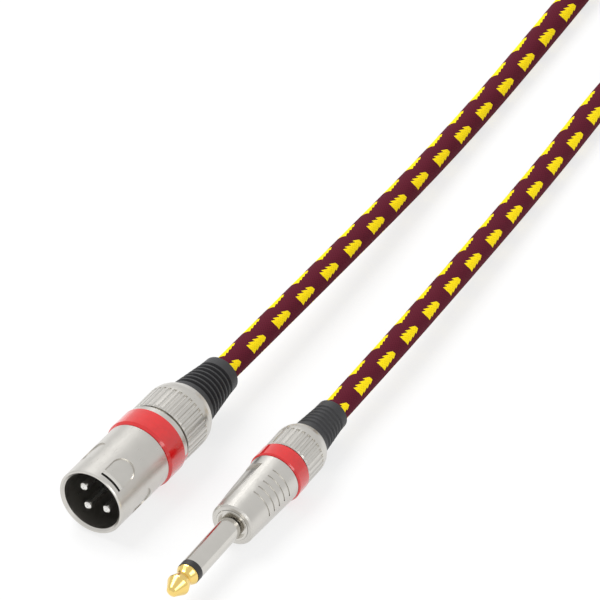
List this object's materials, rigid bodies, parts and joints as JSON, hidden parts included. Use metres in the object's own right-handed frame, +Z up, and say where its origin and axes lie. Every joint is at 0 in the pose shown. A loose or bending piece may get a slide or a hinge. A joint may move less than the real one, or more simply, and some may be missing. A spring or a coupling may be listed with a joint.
{
  "type": "instrument cable",
  "caption": "Braided instrument cable with a male three-contact locking plug on one end and a quarter-inch mono plug on the other, its spare length held in a tied hank.",
  "frame": {"origin": "on the ground under the middle of the two plugs' common box", "axes": "+Z up, +Y from the three-contact plug's mouth back along its cable, +X towards the quarter-inch plug"},
  "size_m": [0.0656, 0.481, 0.02],
  "materials": {
    "satin_nickel": "satin nickel plate",
    "plug_sleeve_metal": "polished nickel plate",
    "contact_silver": "silver plate",
    "gold_tip": "gold plate",
    "tinned_brass": "tinned",
    "red_ring": "glossy red",
    "black_plastic": "moulded black",
    "grey_plastic": "moulded grey",
    "black_rubber": "ribbed charcoal rubber",
    "core_insulation": "insulated wire",
    "bare_wire": "bare copper",
    "braid": "woven maroon braid with yellow motifs",
    "tie_fabric": "hook and loop strap"
  },
  "bodies": {
    "root": {"xlr_shell": "satin_nickel", "xlr_collar": "satin_nickel", "jack_shell": "satin_nickel", "jack_sleeve": "plug_sleeve_metal", "xlr_pin_1": "contact_silver", "xlr_pin_2": "contact_silver", "xlr_pin_3": "contact_silver", "jack_tip": "gold_tip", "jack_tip_lug": "tinned_brass", "jack_ground_lug": "tinned_brass", "xlr_id_ring": "red_ring", "jack_id_ring": "red_ring", "xlr_insert": "black_plastic", "jack_tip_insulator": "black_plastic", "jack_rear_insulator": "black_plastic", "xlr_chuck": "grey_plastic", "jack_chuck": "grey_plastic", "jack_liner": "grey_plastic", "xlr_core_hot": "core_insulation", "xlr_core_cold": "core_insulation", "jack_core_hot": "core_insulation", "xlr_drain_wire": "bare_wire", "jack_shield_wire": "bare_wire", "cable_xlr_run": "braid", "cable_hank": "braid", "cable_jack_run": "braid", "hank_tie_left": "tie_fabric", "hank_tie_right": "tie_fabric"},
    "xlr_boot_body": {"xlr_boot": "black_rubber"},
    "xlr_nut_body": {"xlr_gland_nut": "satin_nickel"},
    "jack_boot_body": {"jack_boot": "black_rubber"},
    "jack_nut_body": {"jack_gland_nut": "satin_nickel"}
  },
  "joints": [
    {"name": "xlr_boot_slide", "type": "slide", "parent": "root", "child": "xlr_boot_body", "axis": [0, 1, 0], "range_m": [0, 0.0048]},
    {"name": "xlr_nut_turn", "type": "hinge", "parent": "xlr_boot_body", "child": "xlr_nut_body", "pos_m": [-0.0152, 0.01545, 0.01], "axis": [0, 1, 0], "range_deg": [0, 1440]},
    {"name": "jack_boot_slide", "type": "slide", "parent": "root", "child": "jack_boot_body", "axis": [-0.0461, 0.9989, 0], "range_m": [0, 0.004]},
    {"name": "jack_nut_turn", "type": "hinge", "parent": "jack_boot_body", "child": "jack_nut_body", "pos_m": [0.0172, 0.02288, 0.0075], "axis": [-0.0461, 0.9989, 0], "range_deg": [0, 1440]}
  ],
  "couplings": [
    {"joint": "xlr_boot_slide", "follows": "xlr_nut_turn", "m_per_rad": 0.00019098},
    {"joint": "jack_boot_slide", "follows": "jack_nut_turn", "m_per_rad": 0.00015915}
  ]
}
